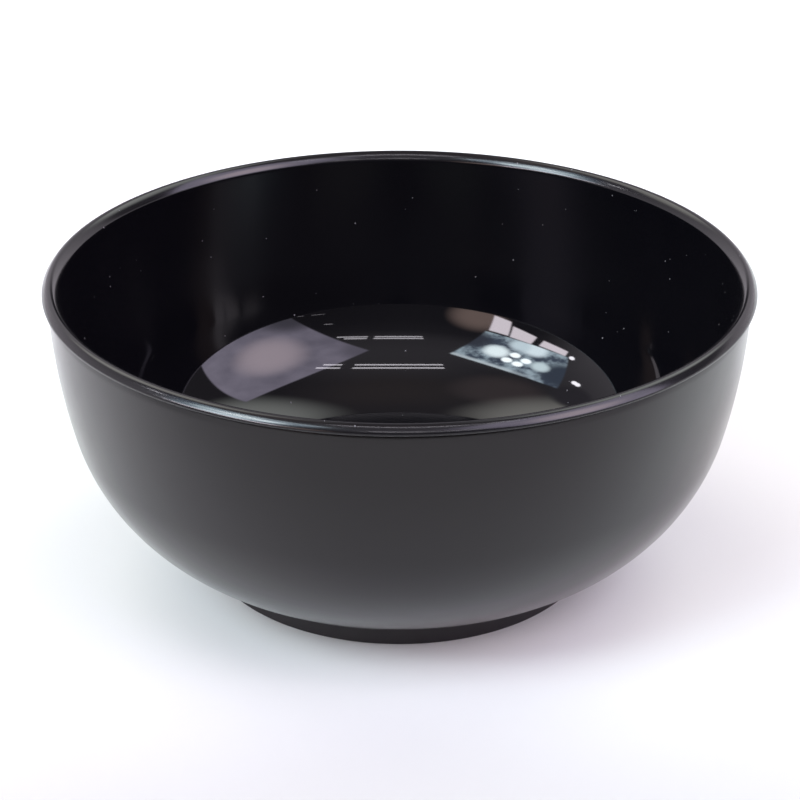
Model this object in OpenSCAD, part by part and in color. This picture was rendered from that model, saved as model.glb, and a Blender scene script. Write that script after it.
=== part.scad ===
// Round mixing bowl: a gloss bowl with a ridged lip, a satin outer skin moulded over it,
// a foot ring fitted over a spigot underneath, and a rubber ring set into the foot.
// Millimetres. Origin at the centre of the rest plane, +Z up through the mouth.

/* [Bowl] */
// Outside diameter of the lip
rim_d = 150; // [148:0.5:156]
// Height from the surface it stands on to the top of the lip
height = 67; // [65:0.5:70]
// Thickness of the finished wall along its side, bowl and skin together
wall_t = 2.6; // [2.4:0.1:2.8]
// Thickness of the floor
floor_t = 2.9; // [2.6:0.1:3]

/* [Wall curve] */
// Lean of the wall just under the lip, in degrees from upright
top_draft = 0.7; // [0.4:0.1:1.4]
// Lean where the side curve meets the belly curve, in degrees from upright
blend_lean = 12.8; // [12.8:0.2:14]
// Outside radius of the long side curve
side_radius = 137.4; // [132:0.2:142]
// Outside radius of the belly curve
belly_radius = 43.25; // [42.5:0.25:44]
// Lean where the inside's side curve meets its belly curve, in degrees from upright
hollow_lean = 15; // [14.6:0.1:15.2]
// Inside radius of the belly curve, which is tighter inside than outside
hollow_radius = 32.7; // [32:0.1:33.4]

/* [Lip] */
// Height of the lip's outer side
lip_h = 2; // [2:0.05:2.1]
// How far the lip stands out past the wall
lip_step = 1.03; // [0.9:0.01:1.2]
// Radius of the gentle curve on the lip's outer side
outer_flank = 3.8; // [3.6:0.1:4]
// Radius of the gentle curve on the lip's inner side
inner_flank = 4.2; // [4:0.1:4.4]
// Round on the lip's lower outer edge
lip_low_round = 0.5; // [0.4:0.1:0.5]
// Round where the lip's inner side meets the inside wall
lip_inner_round = 1.2; // [0.8:0.1:1.4]
// Direction that the outer side faces at its lower end, in degrees above level
flank_low = 31; // [30:0.5:32]
// Direction that both sides face where they meet the ridge, in degrees above level
ridge_edge = 50; // [48:1:52]

/* [Outer skin] */
// Thickness of the satin skin
skin_t = 0.6; // [0.4:0.1:0.8]
// Shadow gap between the lip and the skin's top edge
skin_gap = 0.3; // [0.2:0.05:0.6]
// Radius of the skin's shoulder under the lip
shoulder_radius = 5; // [4:0.5:8]
// Height of the shoulder
shoulder_drop = 1.8; // [1:0.1:2]

/* [Foot] */
// Outside diameter of the foot ring
foot_d = 86; // [84:0.5:88]
// Radius of the hollow curve between the wall and the foot
foot_fillet = 2; // [1.4:0.1:2.4]
// Radial width of the foot ring
foot_w = 4.5; // [4.2:0.1:5]
// Round on the foot ring's lower outer edge
foot_round = 0.4; // [0.2:0.1:0.5]
// Thickness of the spigot that the foot ring fits over
spigot_t = 1.5; // [1.2:0.1:2]
// Height of the spigot's end above the surface that the bowl stands on
spigot_lift = 1; // [0.6:0.1:1.2]

/* [Non-slip ring] */
// Width of the rubber ring and of its groove
ring_w = 2.2; // [1.8:0.1:2.4]
// Depth of the groove
groove_depth = 1.4; // [1:0.1:1.6]
// How far the rubber stands out below the foot
ring_proud = 0.2; // [0.1:0.05:0.4]
// Round on the rubber's lower edges
ring_round = 0.4; // [0.2:0.1:0.5]

/* [Gate mark] */
// Diameter of the moulding gate's nub under the floor
gate_d = 3.2; // [2.4:0.2:4]
// Height of the nub
gate_h = 0.4; // [0.2:0.1:0.6]

/* [Hidden] */
$fn = 180;

rim_r = rim_d / 2;
lip_z = height - lip_h;
wall_top_r = rim_r - lip_step;

// The wall's outline is two arcs that share a tangent. Each centre is [radius, height].
side_centre = [
    wall_top_r - side_radius * cos(top_draft),
    lip_z + side_radius * sin(top_draft)
];
belly_centre = side_centre + (side_radius - belly_radius) * [cos(blend_lean), -sin(blend_lean)];

// Radius of the side curve at a height, at a depth under the outside surface
function side_r(inset, z) = side_centre[0] + sqrt(pow(side_radius - inset, 2) - pow(side_centre[1] - z, 2));

// The inside keeps the wall's thickness along the side, then curves in to the floor on its own arc.
hollow_side = side_radius - wall_t;
hollow_centre = side_centre + (hollow_side - hollow_radius) * [cos(hollow_lean), -sin(hollow_lean)];
floor_z = hollow_centre[1] - hollow_radius;

// The foot's hollow curve touches the upright foot face and the belly curve.
foot_r = foot_d / 2;
foot_in_r = foot_r - foot_w;
fillet_reach = belly_radius + foot_fillet;
fillet_lean = acos((foot_r + foot_fillet - belly_centre[0]) / fillet_reach);
fillet_centre = belly_centre + fillet_reach * [cos(fillet_lean), -sin(fillet_lean)];

skin_top_z = lip_z - skin_gap;
groove_in_r = foot_r - (foot_w + ring_w) / 2;
groove_top_z = ring_proud + groove_depth;
recess_z = floor_z - floor_t;

// Well outside the bowl, for cutting shapes
far = 2 * rim_d;
// Overlap that carries one shape a little way into the next
bite = 1;
// Hair's breadth by which touching curves are made to cross, so that they meet in one clean line
relief = 0.002;
// How far a cutting wedge reaches past the arc that it cuts, in degrees
overlap = 1;
// Half a turn, in degrees: a direction from 90 up to this faces the bowl's axis
half_turn = 180;

function step(rise, length) = length * [cos(rise), sin(rise)];

// The lip's section is a chain of arcs that share tangents: lower outer round, outer side, ridge, inner
// side, inner round. The ridge's radius follows from the height.
low_round_centre = [rim_r - lip_low_round, lip_z + lip_low_round];
outer_flank_centre = low_round_centre + step(flank_low, lip_low_round - outer_flank);
ridge_round = (height - outer_flank_centre[1] - outer_flank * sin(ridge_edge)) / (1 - sin(ridge_edge));
ridge_centre = outer_flank_centre + step(ridge_edge, outer_flank - ridge_round);
inner_flank_centre = ridge_centre + step(half_turn - ridge_edge, ridge_round - inner_flank);
flank_gap = inner_flank - lip_inner_round;

// Direction that the inner side faces at its lower end, for an inside wall of that radius
function mouth_rise(wall_r) = acos((inner_flank_centre[0] - lip_inner_round - wall_r) / flank_gap);

mouth_z = inner_flank_centre[1] + flank_gap * sin(mouth_rise(side_r(wall_t, lip_z)));
inner_low = mouth_rise(side_r(wall_t, mouth_z) - relief);
inner_round_centre = inner_flank_centre + step(half_turn - inner_low, flank_gap);

// The skin's shoulder shares a tangent with the side curve.
shoulder_lean = asin((side_centre[1] - skin_top_z + shoulder_drop) / side_radius);
shoulder_centre = side_centre + step(-shoulder_lean, side_radius - shoulder_radius);

// The waste outside an arc, in the wedge between two directions from its centre
module arc_waste(centre, radius, from, to) {
    translate(centre) difference() {
        polygon([[0, 0], step(from, far), step((from + to) / 2, far), step(to, far)]);
        circle(r = radius);
    }
}

// The waste outside a rounded corner: at is the sharp corner, side is where the solid lies from it
module corner_waste(at, radius, side) {
    span = radius + bite;
    translate(at + radius * side) difference() {
        translate([min(0, -side[0] * span), min(0, -side[1] * span)]) square(span);
        circle(r = radius);
    }
}

// Everything inside a side arc and the belly arc that meets it at a lean
module inside_curve(side, centre, belly, lean) {
    seam_z = side_centre[1] - side * sin(lean);
    bottom_z = centre[1] - belly;
    intersection() {
        translate(side_centre) circle(r = side - relief);
        translate([0, seam_z]) square([rim_r, height + bite - seam_z]);
    }
    intersection() {
        translate(centre) circle(r = belly);
        translate([centre[0] - 2 * bite, 0]) square([rim_r, seam_z + 2 * bite]);
    }
    translate([0, bottom_z + relief]) square([centre[0], seam_z + bite - bottom_z]);
}

// Everything inside the wall's outline at a depth under the outside surface
module inside_wall(inset) {
    inside_curve(side_radius - inset, belly_centre, belly_radius - inset, blend_lean);
}

// What the bowl holds
module hollow() {
    inside_curve(hollow_side, hollow_centre, hollow_radius, hollow_lean);
}

// Everything below a height
module below(z) {
    translate([0, -far]) square([far, far + z]);
}

// The part of the wall above the line where the skin ends, square to the surface
module above_skin_end() {
    polygon([
        belly_centre,
        belly_centre + far * [cos(fillet_lean), -sin(fillet_lean)],
        [far, far],
        [belly_centre[0], far]
    ]);
}

// The lip before it is shaped
module lip_blank() {
    translate([wall_top_r - wall_t - bite, lip_z]) square([lip_step + wall_t + 2 * bite, lip_h + bite]);
}

// Everything outside the lip's chain of arcs. The wedges reach past each other, and the tighter arcs
// are a hair's breadth larger, so that neighbours cross cleanly.
module lip_waste() {
    spread = flank_low / 2;
    inner_edge = half_turn - ridge_edge;
    inner_end = half_turn - inner_low;
    arc_waste(low_round_centre, lip_low_round + relief, -90 - overlap, flank_low + overlap);
    arc_waste(outer_flank_centre, outer_flank, flank_low - spread, ridge_edge + spread);
    arc_waste(ridge_centre, ridge_round + relief, ridge_edge - overlap, inner_edge + overlap);
    arc_waste(inner_flank_centre, inner_flank, inner_edge - spread, inner_end + spread);
    arc_waste(inner_round_centre, lip_inner_round + relief, inner_end - overlap, half_turn + overlap);
}

// The spigot with everything above it up to the floor, and the hollow under the floor
module spigot_section() {
    translate([foot_in_r - spigot_t, spigot_lift]) square([spigot_t, floor_z - spigot_lift]);
}

module recess_section() {
    square([foot_in_r - spigot_t, recess_z]);
}

module bowl_body() {
    color([0.03, 0.03, 0.035]) {
        rotate_extrude() difference() {
            union() {
                intersection() {
                    inside_wall(skin_t);
                    below(lip_z + bite);
                }
                lip_blank();
                spigot_section();
            }
            hollow();
            recess_section();
            lip_waste();
        }
        translate([0, 0, recess_z - gate_h]) cylinder(h = gate_h + bite / 2, d = gate_d);
    }
}

module outer_skin() {
    color([0.23, 0.22, 0.23]) rotate_extrude() difference() {
        intersection() {
            inside_wall(0);
            above_skin_end();
            below(skin_top_z);
        }
        inside_wall(skin_t);
        arc_waste(shoulder_centre, shoulder_radius, -shoulder_lean - overlap, ridge_edge);
    }
}

module foot_ring() {
    color([0.06, 0.055, 0.06]) rotate_extrude() difference() {
        polygon([
            [foot_in_r, ring_proud],
            [foot_r, ring_proud],
            [foot_r, fillet_centre[1]],
            fillet_centre,
            belly_centre + (belly_radius - skin_t - bite) * [cos(fillet_lean), -sin(fillet_lean)],
            [foot_in_r, floor_z + bite]
        ]);
        translate(fillet_centre) circle(r = foot_fillet);
        inside_wall(skin_t);
        translate([groove_in_r, 0]) square([ring_w, groove_top_z]);
        corner_waste([foot_r, ring_proud], foot_round, [-1, 1]);
    }
}

module non_slip_ring() {
    color([0.10, 0.10, 0.10]) rotate_extrude() difference() {
        translate([groove_in_r, 0]) square([ring_w, groove_top_z]);
        corner_waste([groove_in_r, 0], ring_round, [1, 1]);
        corner_waste([groove_in_r + ring_w, 0], ring_round, [-1, 1]);
    }
}

bowl_body();
outer_skin();
foot_ring();
non_slip_ring();
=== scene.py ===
import math

import bpy
from mathutils import Euler, Matrix, Vector


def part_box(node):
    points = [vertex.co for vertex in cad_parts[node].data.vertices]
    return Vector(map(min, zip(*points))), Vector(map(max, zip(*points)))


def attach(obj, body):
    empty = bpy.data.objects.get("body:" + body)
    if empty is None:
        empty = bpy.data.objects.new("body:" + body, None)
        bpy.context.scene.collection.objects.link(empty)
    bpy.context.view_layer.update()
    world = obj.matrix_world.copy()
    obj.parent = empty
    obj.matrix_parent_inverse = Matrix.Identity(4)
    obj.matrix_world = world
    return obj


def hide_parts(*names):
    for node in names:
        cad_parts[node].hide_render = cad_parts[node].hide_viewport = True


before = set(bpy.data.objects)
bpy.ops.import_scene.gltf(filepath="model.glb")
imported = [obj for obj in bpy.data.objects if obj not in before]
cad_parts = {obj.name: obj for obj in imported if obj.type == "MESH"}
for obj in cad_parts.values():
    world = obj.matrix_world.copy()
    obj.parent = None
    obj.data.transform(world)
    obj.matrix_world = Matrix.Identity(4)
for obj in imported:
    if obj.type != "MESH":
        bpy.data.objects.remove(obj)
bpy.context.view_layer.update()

# A round mixing bowl: gloss black inside and lip, satin charcoal skin, near black foot ring and a
# rubber ring under it. Metres, in the CAD model's frame. Outlines are (radius, height) pairs.

MM = 0.001

# ---------------------------------------------------------------- sizes from the CAD model

body_low, body_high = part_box("bowl_body")
skin_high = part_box("outer_skin")[1]
foot_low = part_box("foot_ring")[0]
ring_low, ring_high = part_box("non_slip_ring")

RIM_R = min(body_high[0], body_high[1], -body_low[0], -body_low[1])
TOP_Z = body_high[2]
SPIGOT_LOW_Z = body_low[2]
SKIN_TOP_Z = skin_high[2]
FOOT_LOW_Z = foot_low[2]
RING_OUT_R = ring_high[0]
RING_TOP_Z = ring_high[2]

# ---------------------------------------------------------------- sizes of the design

WALL_T = 2.6 * MM
SKIN_T = 0.6 * MM
FLOOR_T = 2.9 * MM
LIP_H = 2.0 * MM
LIP_STEP = 1.03 * MM
LIP_LOW_ROUND = 0.5 * MM
LIP_OUTER_FLANK = 3.8 * MM
LIP_INNER_FLANK = 4.2 * MM
LIP_INNER_ROUND = 1.2 * MM
OUTER_FLANK_LOW = math.radians(31)
RIDGE_EDGE = math.radians(50)
SHOULDER_RADIUS = 5.0 * MM
SHOULDER_DROP = 1.8 * MM
TOP_LEAN = math.radians(0.7)
BLEND_LEAN = math.radians(12.8)
FLAT_LEAN = math.radians(90)
SIDE_RADIUS = 137.4 * MM
BELLY_RADIUS = 43.25 * MM
HOLLOW_LEAN = math.radians(15)
HOLLOW_RADIUS = 32.7 * MM
FOOT_R = 43.0 * MM
FOOT_W = 4.5 * MM
FOOT_FILLET = 2.0 * MM
SPIGOT_T = 1.5 * MM
RING_W = 2.2 * MM
GATE_R = 1.6 * MM
GATE_H = 0.4 * MM
GATE_DIP = 0.12 * MM
GATE_FLAT_SHARE = 0.5

LIP_Z = TOP_Z - LIP_H
FOOT_IN_R = FOOT_R - FOOT_W
RING_IN_R = RING_OUT_R - RING_W

# The wall is two arcs that share a tangent; a centre is a (radius, height) pair.
SIDE_CENTRE = Vector((
    RIM_R - LIP_STEP - SIDE_RADIUS * math.cos(TOP_LEAN),
    LIP_Z + SIDE_RADIUS * math.sin(TOP_LEAN),
))
BELLY_CENTRE = SIDE_CENTRE + (SIDE_RADIUS - BELLY_RADIUS) * Vector(
    (math.cos(BLEND_LEAN), -math.sin(BLEND_LEAN))
)

# The inside keeps the wall's thickness along the side, then curves in to the floor on its own arc.
HOLLOW_CENTRE = SIDE_CENTRE + (SIDE_RADIUS - WALL_T - HOLLOW_RADIUS) * Vector(
    (math.cos(HOLLOW_LEAN), -math.sin(HOLLOW_LEAN))
)
FLOOR_Z = HOLLOW_CENTRE[1] - HOLLOW_RADIUS
RECESS_Z = FLOOR_Z - FLOOR_T

# The foot's hollow curve touches the belly curve at this lean and the upright foot face.
FILLET_REACH = BELLY_RADIUS + FOOT_FILLET
FILLET_LEAN = math.acos((FOOT_R + FOOT_FILLET - BELLY_CENTRE[0]) / FILLET_REACH)
FILLET_CENTRE = BELLY_CENTRE + FILLET_REACH * Vector((math.cos(FILLET_LEAN), -math.sin(FILLET_LEAN)))


def towards(rise, length):
    """A step of that length at a rise above the outward radius."""
    return length * Vector((math.cos(rise), math.sin(rise)))


# The lip's section is a chain of arcs that share tangents, from its lower outer round over the ridge
# to the inside wall. The ridge's radius follows from the height.
HALF_TURN = math.radians(180)
LOW_ROUND_CENTRE = Vector((RIM_R - LIP_LOW_ROUND, LIP_Z + LIP_LOW_ROUND))
OUTER_FLANK_CENTRE = LOW_ROUND_CENTRE + towards(OUTER_FLANK_LOW, LIP_LOW_ROUND - LIP_OUTER_FLANK)
FLANK_TOP_Z = OUTER_FLANK_CENTRE[1] + LIP_OUTER_FLANK * math.sin(RIDGE_EDGE)
RIDGE_ROUND = (TOP_Z - FLANK_TOP_Z) / (1 - math.sin(RIDGE_EDGE))
RIDGE_CENTRE = OUTER_FLANK_CENTRE + towards(RIDGE_EDGE, LIP_OUTER_FLANK - RIDGE_ROUND)
INNER_FLANK_CENTRE = RIDGE_CENTRE + towards(HALF_TURN - RIDGE_EDGE, RIDGE_ROUND - LIP_INNER_FLANK)

TURN_STEPS = 384
ARC_STEP = 0.7 * MM
LINE_STEP = 1.5 * MM
RECESS_STEP = 0.4 * MM
ROUND_STEPS = 10
CORNER_STEPS = 6
SHORTEST_SHARE = 0.02
SAME_POINT = 0.002 * MM
ON_AXIS = 0.001 * MM
SHARP_ANGLE = math.radians(38)

# ---------------------------------------------------------------- outlines
# In each outline, corners holds how far the round at each stroke's far end reaches, in millimetres.


def arc(centre, radius, lean_from, lean_to, steps=0):
    """Points on an arc; lean is measured downwards from the outward radius."""
    steps = steps or max(4, math.ceil(abs(lean_to - lean_from) * radius / ARC_STEP))
    leans = [lean_from + (lean_to - lean_from) * i / steps for i in range(steps + 1)]
    return [Vector((centre[0] + radius * math.cos(a), centre[1] - radius * math.sin(a))) for a in leans]


def line(start, end, step=LINE_STEP):
    """Points on a straight stroke."""
    start, end = Vector(start), Vector(end)
    steps = max(1, math.ceil((end - start).length / step))
    return [start.lerp(end, i / steps) for i in range(steps + 1)]


def side_lean(inset, z):
    """Lean of the side curve at a height, at a depth under the outside surface."""
    return math.asin((SIDE_CENTRE[1] - z) / (SIDE_RADIUS - inset))


def belly_lean(radius, r):
    """Lean at which a curve round the belly's centre reaches a radius from the bowl's axis."""
    return math.acos((r - BELLY_CENTRE[0]) / radius)


def cut_back(points, reach):
    """The stroke without the last stretch of that length."""
    points = [p.copy() for p in points]
    while len(points) > 2 and (points[-1] - points[-2]).length <= reach:
        reach -= (points[-1] - points[-2]).length
        points.pop()
    last = points[-1] - points[-2]
    points[-1] = points[-2] + last * max(SHORTEST_SHARE, 1 - reach / last.length)
    return points


def joined(strokes, reaches, closed):
    """One outline from strokes laid end to end; a corner with a reach is rounded over that length."""
    strokes = [list(s) for s in strokes]
    count = len(strokes)
    outline = []
    for i in range(count if closed else count - 1):
        reach = reaches[i]
        after = (i + 1) % count
        corner = strokes[i][-1].copy()
        if reach:
            strokes[i] = cut_back(strokes[i], reach)
            strokes[after] = cut_back(strokes[after][::-1], reach)[::-1]
            start, end = strokes[i][-1], strokes[after][0]
            for k in range(1, CORNER_STEPS):
                t = k / CORNER_STEPS
                strokes[i].append(start.lerp(corner, t).lerp(corner.lerp(end, t), t))
    for stroke in strokes:
        for point in stroke:
            if not outline or (point - outline[-1]).length > SAME_POINT:
                outline.append(point)
    if closed and (outline[0] - outline[-1]).length < SAME_POINT:
        outline.pop()
    return outline


def wall_strokes(inset, low_lean, top_z):
    """The wall's curve at a depth under its outside surface, from low on the belly up to a height."""
    return [
        arc(BELLY_CENTRE, BELLY_RADIUS - inset, low_lean, BLEND_LEAN),
        arc(SIDE_CENTRE, SIDE_RADIUS - inset, BLEND_LEAN, side_lean(inset, top_z)),
    ]


def turned(strokes):
    """The same strokes walked the other way."""
    return [s[::-1] for s in strokes[::-1]]


# ---------------------------------------------------------------- meshes


def lathe(name, outline, closed):
    """A mesh of an outline turned about +Z. An open outline starts and ends on the axis."""
    on_axis = [not closed and p[0] < ON_AXIS for p in outline]
    vertices, rings = [], []
    for point, single in zip(outline, on_axis):
        rings.append(len(vertices))
        for k in range(1 if single else TURN_STEPS):
            angle = 2 * math.pi * k / TURN_STEPS
            vertices.append((point[0] * math.cos(angle), point[0] * math.sin(angle), point[1]))
    faces = []
    for i in range(len(outline) if closed else len(outline) - 1):
        j = (i + 1) % len(outline)
        for k in range(TURN_STEPS):
            n = (k + 1) % TURN_STEPS
            a, b = rings[i], rings[j]
            if on_axis[i]:
                faces.append((a, b + n, b + k))
            elif on_axis[j]:
                faces.append((a + k, a + n, b))
            else:
                faces.append((a + k, a + n, b + n, b + k))
    mesh = bpy.data.meshes.new(name)
    mesh.from_pydata(vertices, [], faces)
    mesh.validate()
    mesh.shade_smooth()
    mesh.set_sharp_from_angle(angle=SHARP_ANGLE)
    piece = bpy.data.objects.new(name, mesh)
    bpy.context.scene.collection.objects.link(piece)
    return piece


def face_outwards(piece):
    """Turns the mesh's faces outwards if its volume comes out negative."""
    mesh = piece.data
    volume = 0.0
    for polygon in mesh.polygons:
        a, b, c = (mesh.vertices[v].co for v in polygon.vertices[:3])
        volume += a.dot(b.cross(c))
        if len(polygon.vertices) == 4:
            d = mesh.vertices[polygon.vertices[3]].co
            volume += a.dot(c.cross(d))
    if volume < 0:
        mesh.flip_normals()


def bowl_body_outline():
    """The gloss bowl: floor, inside wall, lip, hidden outer wall, spigot and the underside's recess."""
    mouth_r = SIDE_CENTRE[0] + (SIDE_RADIUS - WALL_T) * math.cos(side_lean(WALL_T, LIP_Z))
    flank_gap = LIP_INNER_FLANK - LIP_INNER_ROUND
    flank_low = math.acos((INNER_FLANK_CENTRE[0] - LIP_INNER_ROUND - mouth_r) / flank_gap)
    mouth_centre = INNER_FLANK_CENTRE + towards(HALF_TURN - flank_low, flank_gap)
    shell_top_r = SIDE_CENTRE[0] + (SIDE_RADIUS - SKIN_T) * math.cos(side_lean(SKIN_T, LIP_Z))
    shell_radius = BELLY_RADIUS - SKIN_T
    shell_low_lean = belly_lean(shell_radius, FOOT_IN_R)
    shell_low_z = BELLY_CENTRE[1] - shell_radius * math.sin(shell_low_lean)
    nub_z = RECESS_Z - GATE_H
    strokes = [
        line((0, FLOOR_Z), (HOLLOW_CENTRE[0], FLOOR_Z)),
        arc(HOLLOW_CENTRE, HOLLOW_RADIUS, FLAT_LEAN, HOLLOW_LEAN),
        arc(SIDE_CENTRE, SIDE_RADIUS - WALL_T, HOLLOW_LEAN, side_lean(WALL_T, mouth_centre[1])),
        arc(mouth_centre, LIP_INNER_ROUND, -HALF_TURN, flank_low - HALF_TURN, ROUND_STEPS),
        arc(INNER_FLANK_CENTRE, LIP_INNER_FLANK, flank_low - HALF_TURN, RIDGE_EDGE - HALF_TURN, ROUND_STEPS),
        arc(RIDGE_CENTRE, RIDGE_ROUND, RIDGE_EDGE - HALF_TURN, -RIDGE_EDGE, 2 * ROUND_STEPS),
        arc(OUTER_FLANK_CENTRE, LIP_OUTER_FLANK, -RIDGE_EDGE, -OUTER_FLANK_LOW, ROUND_STEPS),
        arc(LOW_ROUND_CENTRE, LIP_LOW_ROUND, -OUTER_FLANK_LOW, FLAT_LEAN, ROUND_STEPS),
        line((RIM_R - LIP_LOW_ROUND, LIP_Z), (shell_top_r, LIP_Z)),
        *turned(wall_strokes(SKIN_T, shell_low_lean, LIP_Z)),
        line((FOOT_IN_R, shell_low_z), (FOOT_IN_R, SPIGOT_LOW_Z)),
        line((FOOT_IN_R, SPIGOT_LOW_Z), (FOOT_IN_R - SPIGOT_T, SPIGOT_LOW_Z)),
        line((FOOT_IN_R - SPIGOT_T, SPIGOT_LOW_Z), (FOOT_IN_R - SPIGOT_T, RECESS_Z)),
        line((FOOT_IN_R - SPIGOT_T, RECESS_Z), (GATE_R, RECESS_Z), RECESS_STEP),
        line((GATE_R, RECESS_Z), (GATE_R, nub_z)),
        line((GATE_R, nub_z), (GATE_FLAT_SHARE * GATE_R, nub_z)),
        line((GATE_FLAT_SHARE * GATE_R, nub_z), (0, nub_z + GATE_DIP)),
    ]
    corners = [0, 0, 0, 0, 0, 0, 0, 0, 0.08, 0, 0, 0.1, 0.2, 0.2, 0.4, 0.12, 0.12, 0.2]
    return joined(strokes, [c * MM for c in corners], closed=False)


def outer_skin_outline():
    """The satin skin: outside surface, rounded top edge, hidden inside surface and lower end."""
    shoulder_lean = side_lean(0, SKIN_TOP_Z - SHOULDER_DROP)
    shoulder_centre = SIDE_CENTRE + towards(-shoulder_lean, SIDE_RADIUS - SHOULDER_RADIUS)
    shoulder_end = -math.asin((SKIN_TOP_Z - shoulder_centre[1]) / SHOULDER_RADIUS)
    outside = wall_strokes(0, FILLET_LEAN, SKIN_TOP_Z - SHOULDER_DROP)
    shoulder = arc(shoulder_centre, SHOULDER_RADIUS, shoulder_lean, shoulder_end, 2 * ROUND_STEPS)
    inside = turned(wall_strokes(SKIN_T, FILLET_LEAN, SKIN_TOP_Z))
    strokes = [
        *outside,
        shoulder,
        line(shoulder[-1], inside[0][0]),
        *inside,
        line(inside[-1][-1], outside[0][0]),
    ]
    corners = [0, 0, 0.15, 0.03, 0, 0.02, 0.1]
    return joined(strokes, [c * MM for c in corners], closed=True)


def foot_ring_outline():
    """The foot: rest side with its groove, upright face, hollow curve and the seat under the wall."""
    seat_radius = BELLY_RADIUS - SKIN_T
    seat = arc(BELLY_CENTRE, seat_radius, FILLET_LEAN, belly_lean(seat_radius, FOOT_IN_R))
    fillet = arc(FILLET_CENTRE, FOOT_FILLET, -HALF_TURN, FILLET_LEAN - HALF_TURN, ROUND_STEPS)
    strokes = [
        line((FOOT_IN_R, FOOT_LOW_Z), (RING_IN_R, FOOT_LOW_Z)),
        line((RING_IN_R, FOOT_LOW_Z), (RING_IN_R, RING_TOP_Z)),
        line((RING_IN_R, RING_TOP_Z), (RING_OUT_R, RING_TOP_Z)),
        line((RING_OUT_R, RING_TOP_Z), (RING_OUT_R, FOOT_LOW_Z)),
        line((RING_OUT_R, FOOT_LOW_Z), (FOOT_R, FOOT_LOW_Z)),
        line((FOOT_R, FOOT_LOW_Z), (FOOT_R, FILLET_CENTRE[1])),
        fillet,
        line(fillet[-1], seat[0]),
        seat,
        line(seat[-1], (FOOT_IN_R, FOOT_LOW_Z)),
    ]
    corners = [0.08, 0, 0, 0.08, 0.4, 0, 0.1, 0.02, 0.05, 0.15]
    return joined(strokes, [c * MM for c in corners], closed=True)


def non_slip_ring_outline():
    """The rubber ring: two fine grooves in its rest face and rounded edges."""
    groove_w, groove_d = 0.26 * MM, 0.16 * MM
    rest_z = ring_low[2]
    strokes = [line((RING_IN_R, RING_TOP_Z), (RING_IN_R, rest_z))]
    corners = [0.4]
    start = RING_IN_R
    for share in (0.36, 0.64):
        middle = RING_IN_R + share * RING_W
        left, right = middle - groove_w / 2, middle + groove_w / 2
        strokes += [
            line((start, rest_z), (left, rest_z)),
            line((left, rest_z), (left, rest_z + groove_d)),
            line((left, rest_z + groove_d), (right, rest_z + groove_d)),
            line((right, rest_z + groove_d), (right, rest_z)),
        ]
        corners += [0.06, 0.05, 0.05, 0.06]
        start = right
    strokes += [
        line((start, rest_z), (RING_OUT_R, rest_z)),
        line((RING_OUT_R, rest_z), (RING_OUT_R, RING_TOP_Z)),
        line((RING_OUT_R, RING_TOP_Z), (RING_IN_R, RING_TOP_Z)),
    ]
    corners += [0.4, 0.05, 0.05]
    return joined(strokes, [c * MM for c in corners], closed=True)


def press_ejector_marks(piece):
    """Four shallow round marks that the mould's ejector pins leave under the floor."""
    mark_r, mark_h, edge, ring_r = 2.6 * MM, 0.12 * MM, 0.5 * MM, 21 * MM
    level = 0.01 * MM
    centres = [Matrix.Rotation(math.radians(45 + 90 * k), 2) @ Vector((ring_r, 0)) for k in range(4)]
    for vertex in piece.data.vertices:
        co = vertex.co
        if co.z > RECESS_Z + level or co.z < RECESS_Z - level:
            continue
        for centre in centres:
            away = (co.xy - centre).length
            t = min(1.0, max(0.0, (mark_r + edge / 2 - away) / edge))
            co.z -= mark_h * t * t * (3 - 2 * t)


# ---------------------------------------------------------------- materials


PLASTIC_IOR = 1.5


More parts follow.
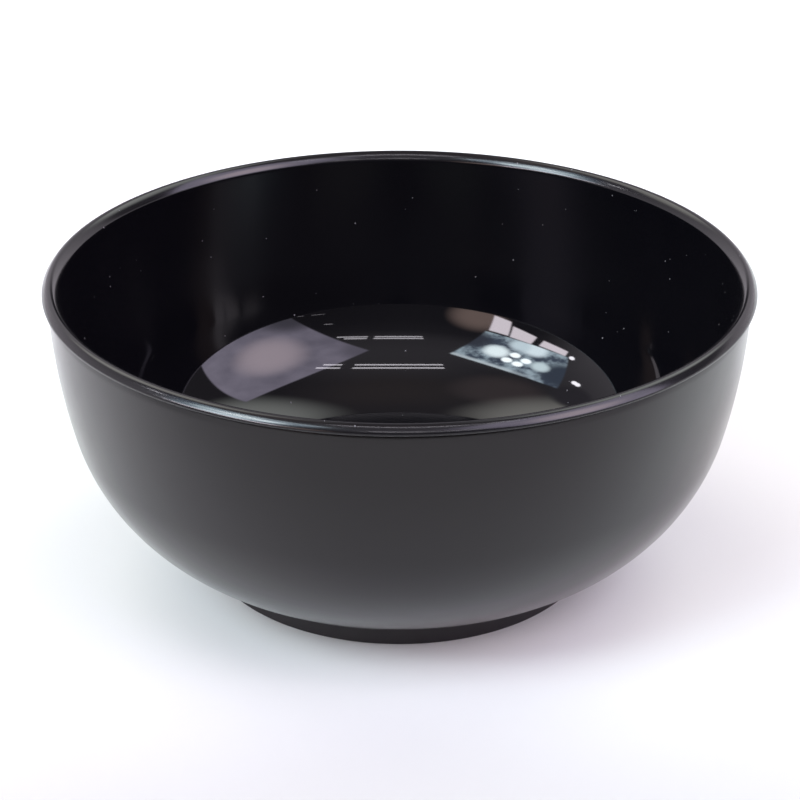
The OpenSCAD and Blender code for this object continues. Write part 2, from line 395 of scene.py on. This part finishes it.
class Graph:
    """A node tree under construction: each call adds a node and returns its output."""

    def __init__(self, tree, coordinates):
        self.nodes = tree.nodes
        self.links = tree.links
        self.place = self.nodes.new("ShaderNodeTexCoord").outputs[coordinates]

    def feed(self, socket, value):
        if isinstance(value, bpy.types.NodeSocket):
            self.links.new(value, socket)
        elif socket.type == "RGBA" and len(value) == 3:
            socket.default_value = (*value, 1)
        else:
            socket.default_value = value

    def coordinate(self, axis):
        node = self.nodes.new("ShaderNodeSeparateXYZ")
        self.links.new(self.place, node.inputs[0])
        return node.outputs[axis]

    def stretched(self, scale):
        node = self.nodes.new("ShaderNodeMapping")
        node.inputs["Scale"].default_value = scale
        self.links.new(self.place, node.inputs["Vector"])
        return node.outputs["Vector"]

    def noise(self, scale, detail=2.0, roughness=0.5, place=None):
        node = self.nodes.new("ShaderNodeTexNoise")
        self.links.new(place or self.place, node.inputs["Vector"])
        node.inputs["Scale"].default_value = scale
        node.inputs["Detail"].default_value = detail
        node.inputs["Roughness"].default_value = roughness
        return node.outputs["Fac"]

    def cells(self, scale):
        node = self.nodes.new("ShaderNodeTexVoronoi")
        self.links.new(self.place, node.inputs["Vector"])
        node.inputs["Scale"].default_value = scale
        return node.outputs["Distance"], node.outputs["Color"]

    def ranged(self, value, low, high, to_low, to_high, smooth=False):
        node = self.nodes.new("ShaderNodeMapRange")
        node.interpolation_type = "SMOOTHSTEP" if smooth else "LINEAR"
        self.feed(node.inputs["Value"], value)
        for key, number in (("From Min", low), ("From Max", high), ("To Min", to_low), ("To Max", to_high)):
            node.inputs[key].default_value = number
        return node.outputs["Result"]

    def math(self, operation, a, b):
        node = self.nodes.new("ShaderNodeMath")
        node.operation = operation
        self.feed(node.inputs[0], a)
        self.feed(node.inputs[1], b)
        return node.outputs[0]

    def mixed(self, factor, a, b):
        node = self.nodes.new("ShaderNodeMix")
        node.data_type = "RGBA"
        self.feed(node.inputs["Factor"], factor)
        self.feed(node.inputs["A"], a)
        self.feed(node.inputs["B"], b)
        return node.outputs["Result"]

    def channel(self, colour, name):
        node = self.nodes.new("ShaderNodeSeparateColor")
        self.links.new(colour, node.inputs["Color"])
        return node.outputs[name]

    def bump(self, height, distance, strength=1.0):
        node = self.nodes.new("ShaderNodeBump")
        self.links.new(height, node.inputs["Height"])
        node.inputs["Distance"].default_value = distance
        node.inputs["Strength"].default_value = strength
        return node.outputs["Normal"]


class Shader(Graph):
    """A material's node tree, ending in its principled shader."""

    def __init__(self, name):
        self.material = bpy.data.materials.new(name)
        self.material.use_nodes = True
        super().__init__(self.material.node_tree, "Object")
        self.bsdf = self.nodes["Principled BSDF"]

    def finish(self, colour, roughness, normal=None):
        self.feed(self.bsdf.inputs["Base Color"], colour)
        self.feed(self.bsdf.inputs["Roughness"], roughness)
        self.bsdf.inputs["IOR"].default_value = PLASTIC_IOR
        if normal is not None:
            self.links.new(normal, self.bsdf.inputs["Normal"])
        return self.material


def dust_specks(shader, scale, share, size):
    """1 on sparse round specks and 0 elsewhere."""
    distance, colour = shader.cells(scale)
    radius = shader.ranged(shader.channel(colour, "Green"), 0, 1, 0.4 * size * scale, size * scale)
    inside = shader.math("LESS_THAN", distance, radius)
    chosen = shader.math("LESS_THAN", shader.channel(colour, "Red"), share)
    return shader.math("MULTIPLY", inside, chosen)


def gloss_black():
    """Polished black plastic: a faint wave, smears, scuffs, a little dust and a hazier upper wall."""
    s = Shader("gloss_black")
    depth = s.ranged(s.noise(45, 3), 0.35, 0.65, 0, 1)
    base = s.mixed(depth, (0.0026, 0.0025, 0.0036, 1), (0.0032, 0.0031, 0.0042, 1))
    dust = dust_specks(s, scale=330, share=0.55, size=0.20 * MM)
    smears = s.ranged(s.noise(28, 4, 0.6, s.stretched((1, 1, 0.25))), 0.42, 0.72, 0.028, 0.055)
    scuffs = s.ranged(s.noise(900, 2, 0.5, s.stretched((1, 1, 0.06))), 0.66, 0.80, 0, 0.03)
    haze = s.ranged(s.coordinate("Z"), 0.45 * TOP_Z, 0.62 * TOP_Z, 0, 0.13, smooth=True)
    roughness = s.math("ADD", s.math("ADD", smears, scuffs), haze)
    roughness = s.math("MAXIMUM", roughness, s.math("MULTIPLY", dust, 0.7))
    wave = s.bump(s.noise(60, 1), 0.012 * MM, 0.6)
    return s.finish(s.mixed(dust, base, (0.14, 0.137, 0.143, 1)), roughness, wave)


def satin_charcoal():
    """Fine satin moulded plastic: an even spark-eroded grain with a slight cloudiness."""
    s = Shader("satin_charcoal")
    clouds = s.ranged(s.noise(38, 4, 0.55), 0.3, 0.7, 0, 1)
    base = s.mixed(clouds, (0.0030, 0.0024, 0.0028, 1), (0.0042, 0.0034, 0.0040, 1))
    roughness = s.ranged(s.noise(160, 3), 0.3, 0.7, 0.15, 0.20)
    grain = s.bump(s.noise(5200, 2, 0.6), 0.010 * MM, 0.5)
    return s.finish(base, roughness, grain)


def foot_black():
    """Matte moulded plastic of the foot, with a faint random tone."""
    s = Shader("foot_black")
    base = s.mixed(s.noise(60, 3), (0.0075, 0.0055, 0.0070, 1), (0.0100, 0.0075, 0.0095, 1))
    roughness = s.ranged(s.noise(220, 3), 0.3, 0.7, 0.52, 0.62)
    grain = s.bump(s.noise(4200, 2, 0.6), 0.012 * MM, 0.6)
    return s.finish(base, roughness, grain)


def ring_rubber():
    """Matte rubber with a fine grain."""
    s = Shader("ring_rubber")
    base = s.mixed(s.noise(120, 4), (0.012, 0.012, 0.012, 1), (0.020, 0.020, 0.020, 1))
    roughness = s.ranged(s.noise(400, 2), 0.3, 0.7, 0.72, 0.86)
    grain = s.bump(s.noise(3000, 3, 0.7), 0.02 * MM, 0.8)
    return s.finish(base, roughness, grain)


# ---------------------------------------------------------------- pieces


def add_piece(name, node, outline, closed, material):
    """A turned piece that stands for a CAD node and rides on the one body."""
    piece = lathe(name, outline, closed)
    face_outwards(piece)
    piece.data.materials.append(material)
    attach(piece, "root")
    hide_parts(node)
    return piece


bowl = add_piece("gloss_bowl", "bowl_body", bowl_body_outline(), False, gloss_black())
press_ejector_marks(bowl)
add_piece("satin_skin", "outer_skin", outer_skin_outline(), True, satin_charcoal())
add_piece("foot", "foot_ring", foot_ring_outline(), True, foot_black())
add_piece("rubber_ring", "non_slip_ring", non_slip_ring_outline(), True, ring_rubber())

# ---------------------------------------------------------------- floor


def floor():
    """A pale floor with painted shade over its front, open under the foot and clear from below so that the
    underside shows.
    """
    inner, outer, steps = FOOT_R - 0.8 * MM, 9.0, 96
    roughness, mottle_share = 0.75, 0.03
    rings = [(math.cos(2 * math.pi * k / steps), math.sin(2 * math.pi * k / steps)) for k in range(steps)]
    vertices = [(r * x, r * y, 0) for r in (inner, outer) for x, y in rings]
    faces = [(k, k + steps, (k + 1) % steps + steps, (k + 1) % steps) for k in range(steps)]
    mesh = bpy.data.meshes.new("floor")
    mesh.from_pydata(vertices, [], faces)
    obj = bpy.data.objects.new("floor", mesh)
    bpy.context.scene.collection.objects.link(obj)
    s = Shader("floor_painted_shade")
    side = s.nodes.new("ShaderNodeNewGeometry").outputs["Backfacing"]
    clear = s.nodes.new("ShaderNodeBsdfTransparent")
    choose = s.nodes.new("ShaderNodeMixShader")
    # Painted shade: the floor's front, towards the camera, is dark grey, so the bowl's front reflects a
    # dimmer floor. The far part is greener at the right, where the softbox's pinkish light falls on it.
    near = s.ranged(s.coordinate("Y"), -0.15, 0.0, 0, 1, smooth=True)
    right = s.ranged(s.coordinate("X"), -0.15, 0.15, 0, 1, smooth=True)
    far = s.mixed(right, (0.90, 0.90, 0.875), (0.87, 0.90, 0.85))
    floor_with_painted_shade = s.mixed(near, (0.475, 0.47, 0.455), far)
    mottled = s.mixed(s.ranged(s.noise(3, 2), 0, 1, 0, mottle_share), floor_with_painted_shade, (0.8, 0.8, 0.8))
    s.finish(mottled, roughness)
    s.links.new(side, choose.inputs[0])
    s.links.new(s.bsdf.outputs[0], choose.inputs[1])
    s.links.new(clear.outputs[0], choose.inputs[2])
    s.links.new(choose.outputs[0], s.nodes["Material Output"].inputs["Surface"])
    mesh.materials.append(s.material)


floor()

# ---------------------------------------------------------------- studio light


def direction(azimuth, elevation):
    """Unit vector towards a light; azimuth 0 is +Y and 90 is +X, in degrees."""
    a, e = math.radians(azimuth), math.radians(elevation)
    return Vector((math.sin(a) * math.cos(e), math.cos(a) * math.cos(e), math.sin(e)))


def place_light(name, location, facing, size, radiance, colour):
    """A rectangular light of a given radiance; size is its width and length."""
    light = bpy.data.lights.new(name, "AREA")
    light.shape = "RECTANGLE"
    light.size, light.size_y = size
    light.energy = math.pi * size[0] * size[1] * radiance
    light.color = colour
    obj = bpy.data.objects.new(name, light)
    obj.matrix_world = Matrix.Translation(location) @ facing.to_4x4()
    bpy.context.scene.collection.objects.link(obj)


def ceiling_tubes():
    """Rows of long thin ceiling lights behind the camera, each row broken by a gap."""
    ceiling_z, colour = 1.5, (1.0, 0.96, 1.04)
    # Each row: y over height, width in metres, radiance, and the x over height of its stretches.
    rows = (
        (-0.327, 0.028, 12, ((-0.231, 0.244), (0.315, 0.47))),
        (-0.384, 0.028, 12, ((-0.236, 0.243), (0.317, 0.44))),
        (-0.985, 0.044, 9, ((-0.202, 0.219), (0.280, 0.49))),
        (-1.040, 0.044, 9, ((-0.202, 0.219), (0.280, 0.58))),
        (-1.630, 0.035, 6, ((0.880, 1.016),)),
        (-2.500, 0.060, 4, ((1.454, 1.789), (2.00, 2.18))),
    )
    for i, (row, width, radiance, stretches) in enumerate(rows):
        for k, (left, right) in enumerate(stretches):
            middle = Vector(((left + right) / 2, row, 1)) * ceiling_z
            size = ((right - left) * ceiling_z, width)
            place_light(f"tube_{i}_{k}", middle, Matrix.Identity(3), size, radiance, colour)


ceiling_tubes()


class Room(Graph):
    """The studio's own light as a colour for each direction."""

    def __init__(self):
        world = bpy.data.worlds.new("room")
        bpy.context.scene.world = world
        world.use_nodes = True
        super().__init__(world.node_tree, "Generated")

    def along(self, axis):
        """How far each direction points along an axis, from -1 to 1."""
        node = self.nodes.new("ShaderNodeVectorMath")
        node.operation = "DOT_PRODUCT"
        self.links.new(self.place, node.inputs[0])
        node.inputs[1].default_value = axis
        return node.outputs["Value"]

    def ramp(self, stops):
        """A colour for each elevation, from (degrees, colour) pairs."""
        node = self.nodes.new("ShaderNodeValToRGB")
        elements = node.color_ramp.elements
        while len(elements) < len(stops):
            elements.new(0.5)
        for element, (elevation, colour) in zip(elements, stops):
            element.position = math.sin(math.radians(elevation))
            element.color = (*colour, 1)
        self.links.new(self.coordinate("Z"), node.inputs["Fac"])
        return node.outputs["Color"]

    def patch(self, colour, centre, inner, outer, patch_colour):
        """The colour with a soft round patch, from full at one angle to none at another, in degrees."""
        low, high = math.cos(math.radians(outer)), math.cos(math.radians(inner))
        near = self.ranged(self.along(direction(*centre)), low, high, 0, 1, smooth=True)
        return self.mixed(near, colour, patch_colour)

    def edges(self, corners):
        """For each side of a four-cornered area, how far each direction lies inside that side."""
        points = [direction(*corner) for corner in corners]
        middle = sum(points, Vector()).normalized()
        sides = []
        for start, end in zip(points, points[1:] + points[:1]):
            inward = start.cross(end).normalized()
            sides.append(self.along(inward if inward.dot(middle) > 0 else -inward))
        return sides

    def area(self, colour, corners, soft, area_colour):
        """The colour with a four-cornered area whose edges are softened over an angle in degrees."""
        half = math.radians(soft) / 2
        inside = 1.0
        for side in self.edges(corners):
            inside = self.math("MULTIPLY", self.ranged(side, -half, half, 0, 1, smooth=True), inside)
        return self.mixed(inside, colour, area_colour)


def grey(level):
    """The room's grey, which is faintly violet."""
    return (level, level * 0.93, level * 1.02)


def soft_panel(room, colour):
    """A large softbox at the right, warmest and brightest in its middle."""
    corners = ((74.4, 53.1), (163.3, 52.9), (134.5, 12), (94, 12))
    cloth = room.mixed(room.ranged(room.noise(5, 3), 0.35, 0.65, 0, 1), (2.4, 2.2, 2.9), (3.4, 3.1, 4.0))
    cloth = room.patch(cloth, (117, 39), 1, 17, (6.4, 5.4, 6.2))
    cloth = room.patch(cloth, (136, 15), 4, 15, (0.9, 0.85, 1.1))
    cloth = room.patch(cloth, (163, 53), 2, 11, (1.9, 1.75, 2.3))
    return room.area(colour, corners, 1.0, cloth)


def window(room, colour):
    """A window at the left with a mottled bluish view, round lamps and a bright sill."""
    corners = ((-152.1, 53.5), (-142.7, 30.2), (-103.6, 27.8), (-87.9, 47.3))
    mottle = room.ranged(room.noise(11, 4, 0.6), 0.38, 0.64, 0, 1, smooth=True)
    view = room.mixed(mottle, (1.0, 1.3, 1.9), (6.5, 8.2, 9.4))
    # Each blob: its centre, the angles where it is full and gone, and its colour.
    blobs = (
        ((-146, 38), 3, 9, (0.7, 0.8, 1.1)),
        ((-95, 40), 5, 11, (0.7, 0.9, 1.3)),
        ((-132, 43.5), 2.0, 6.0, (18, 20.5, 21.5)),
        ((-118, 33), 2.5, 6.5, (15, 17.5, 19)),
        ((-125, 34), 1.5, 5.5, (12, 14.5, 16)),
        ((-107.8, 42.3), 1.5, 4.5, (12, 14.5, 15.5)),
    )
    for blob in blobs:
        view = room.patch(view, *blob)
    sill = room.ranged(room.edges(corners)[3], 0.05, 0.015, 0, 1, smooth=True)
    left_part = room.ranged(room.along(direction(-150, 30)), 0.72, 0.86, 0, 0.8, smooth=True)
    view = room.mixed(room.math("MULTIPLY", sill, left_part), view, (11, 12.5, 13.5))
    for lamp in ((-123.6, 47.2), (-122.9, 41.9), (-115.9, 43.0), (-117.2, 47.2)):
        view = room.patch(view, lamp, 1.3, 2.4, (24, 26, 27))
    return room.area(colour, corners, 1.0, view)


def surroundings():
    """The room: bright low at the sides, dim overhead, dark behind the camera, with its windows."""
    room = Room()
    behind_camera = room.ramp([
        (0, grey(0.07)),
        (28, grey(0.11)),
        (37, grey(0.17)),
        (44, grey(0.40)),
        (52, grey(0.48)),
        (62, grey(0.50)),
        (73, grey(0.60)),
        (79, grey(0.55)),
        (84, (0.40, 0.33, 0.32)),
    ])
    around = room.ramp([
        (0, grey(1.05)),
        (20, grey(0.9)),
        (42, grey(0.5)),
        (60, grey(0.17)),
        (72, (0.26, 0.23, 0.24)),
        (90, (0.37, 0.31, 0.30)),
    ])
    beside = room.ranged(room.coordinate("Y"), -0.55, -0.05, 0, 1, smooth=True)
    colour = room.mixed(beside, behind_camera, around)
    # Each patch: its centre, the angles where it is full and gone, and its colour.
    patches = (
        ((0, 11), 8, 13, grey(0.01)),
        ((78, 34), 18, 27, grey(0.18)),
        ((-88, 66), 6, 16, (0.62, 0.50, 0.50)),
        ((46, 50), 10, 24, (2.7, 2.8, 2.7)),
        ((-46, 50), 10, 24, (2.8, 2.75, 2.6)),
        ((-78, 45), 5, 9, (0.36, 0.33, 0.38)),
        ((-148, 20), 2, 14, (2.6, 1.9, 1.7)),
    )
    for patch in patches:
        colour = room.patch(colour, *patch)
    colour = soft_panel(room, colour)
    colour = window(room, colour)
    rose, spark_colour, backdrop = (14.0, 12.8, 14.0), (22, 21.5, 23), (0.84, 0.84, 0.845)
    panes = (
        ((-141.9, 16.5), (-134.3, 18.5), (-132.8, 29.6), (-141.7, 29.0)),
        ((-132.9, 21.5), (-121.4, 24.0), (-121.7, 30.2), (-131.9, 30.0)),
        ((-117.9, 24.5), (-105.7, 24.4), (-105.2, 28.0), (-118.2, 29.1)),
    )
    for pane in panes:
        colour = room.area(colour, pane, 1.0, rose)
    for spark in ((-102.1, 27.0), (-88.8, 38.7), (-87.0, 38.3)):
        colour = room.patch(colour, spark, 0.7, 1.5, spark_colour)
    # The camera sees a plain pale backdrop; only the reflections and the lighting use the room.
    seen = room.nodes.new("ShaderNodeLightPath").outputs["Is Camera Ray"]
    background = room.nodes["Background"]
    room.links.new(room.mixed(seen, colour, backdrop), background.inputs["Color"])


surroundings()
bpy.context.scene.view_settings.view_transform = "Standard"

# ---------------------------------------------------------------- camera


def camera():
    """Looks down on the bowl at the photograph's angle, from straight in front."""
    elevation, away, lens, frame_shift = math.radians(26.51), 0.45, 92.57, (0.0006, 0.0099)
    film_width, nearest, farthest = 36, 0.01, 30
    target = Vector((0, 0, TOP_Z / 2 + 0.1 * MM))
    back = Vector((0, -math.cos(elevation), math.sin(elevation)))
    data = bpy.data.cameras.new("camera")
    data.lens = lens
    data.sensor_width = film_width
    data.shift_x, data.shift_y = frame_shift
    data.clip_start = nearest
    data.clip_end = farthest
    obj = bpy.data.objects.new("camera", data)
    obj.location = target + back * away
    obj.rotation_euler = Euler((math.radians(90) - elevation, 0, 0))
    bpy.context.scene.collection.objects.link(obj)
    bpy.context.scene.camera = obj


camera()
